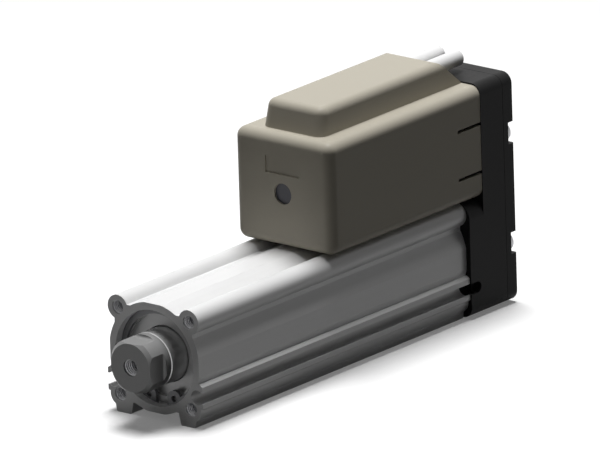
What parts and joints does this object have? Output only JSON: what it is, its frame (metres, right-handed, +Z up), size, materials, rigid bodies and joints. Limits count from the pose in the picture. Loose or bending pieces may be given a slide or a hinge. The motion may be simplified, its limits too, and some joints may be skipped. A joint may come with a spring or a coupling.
{
  "type": "electric rod actuator",
  "caption": "Electric rod actuator: extruded body with switch grooves, keyed rod driven by a ball screw and toothed belt from a covered motor.",
  "frame": {"origin": "on the rod axis, in the front mounting face of the body tube", "axes": "+Z up from the feet, -Y the way the rod extends, X across"},
  "size_m": [0.035, 0.151, 0.0754],
  "materials": {
    "anodised": "clear anodised extrusion",
    "cast_black": "black anodised die casting",
    "steel_plated": "nickel plated steel",
    "steel_rod": "hard chromium plated stainless steel, ground",
    "steel_spring": "phosphated spring steel",
    "steel_bearing": "hardened and ground steel",
    "steel_black": "black oxide screws",
    "steel_zinc": "zinc plated screws",
    "aluminium_inner": "machined aluminium",
    "cover_plastic": "warm grey moulded resin",
    "cap_plastic": "dark blue-grey moulded resin",
    "bronze": "lead bronze bush",
    "urethane": "urethane bumper",
    "nitrile": "nitrile rubber",
    "acetal": "acetal resin",
    "magnet": "bonded magnet",
    "laminate": "stacked laminations",
    "winding": "enamelled copper winding",
    "board": "glass epoxy board",
    "belt_rubber": "fibre reinforced rubber belt",
    "cable_white": "white cable sheath"
  },
  "bodies": {
    "root": {"body_tube": "anodised", "retaining_ring": "steel_spring", "rod_cover": "aluminium_inner", "cover_oring": "nitrile", "rod_seal": "nitrile", "rod_bush": "bronze", "front_bumper": "urethane", "rear_bumper": "urethane", "bearing_housing": "aluminium_inner", "bearing_outer_rings": "steel_bearing", "bearing_balls": "steel_bearing", "bearing_stopper": "aluminium_inner", "return_box": "cast_black", "box_bolts": "steel_black", "return_plate": "cast_black", "plate_screws": "steel_zinc", "timing_belt": "belt_rubber", "motor_front_bell": "aluminium_inner", "motor_rear_bell": "aluminium_inner", "stator_core": "laminate", "stator_coils": "winding", "tie_screws": "steel_zinc", "motor_screws": "steel_black", "motor_bearing_outer_rings": "steel_bearing", "motor_bearing_balls": "steel_bearing", "encoder_housing": "cap_plastic", "encoder_board": "board", "motor_cover": "cover_plastic", "access_cap": "cap_plastic", "cable_grommet": "nitrile", "motor_cable": "cable_white", "encoder_cable": "cable_white"},
    "rod": {"rod_socket": "steel_plated", "piston_rod": "steel_rod", "piston": "aluminium_inner", "screw_nut": "steel_bearing", "wear_ring": "acetal", "magnet_ring": "magnet", "rotation_stopper": "acetal"},
    "screw": {"screw_shaft": "steel_bearing", "bearing_inner_rings": "steel_bearing", "bearing_locknut": "steel_black", "driven_pulley": "aluminium_inner"},
    "rotor": {"motor_shaft": "steel_bearing", "rotor_stacks": "laminate", "rotor_magnet": "magnet", "motor_bearing_inner_rings": "steel_bearing", "drive_pulley": "aluminium_inner", "encoder_disc": "steel_bearing"}
  },
  "joints": [
    {"name": "rod_slide", "type": "slide", "parent": "root", "child": "rod", "axis": [0, -1, 0], "range_m": [0, 0.05]},
    {"name": "screw_spin", "type": "hinge", "parent": "root", "child": "screw", "pos_m": [0, 0.11, 0], "axis": [0, 1, 0], "range_deg": [0, 3600], "deforming": ["timing_belt"]},
    {"name": "motor_spin", "type": "hinge", "parent": "root", "child": "rotor", "pos_m": [0, 0.11, 0.0325], "axis": [0, 1, 0], "range_deg": [0, 3600]}
  ],
  "couplings": [
    {"joint": "screw_spin", "follows": "rod_slide", "rad_per_m": 1256.6},
    {"joint": "motor_spin", "follows": "rod_slide", "rad_per_m": 1256.6}
  ]
}
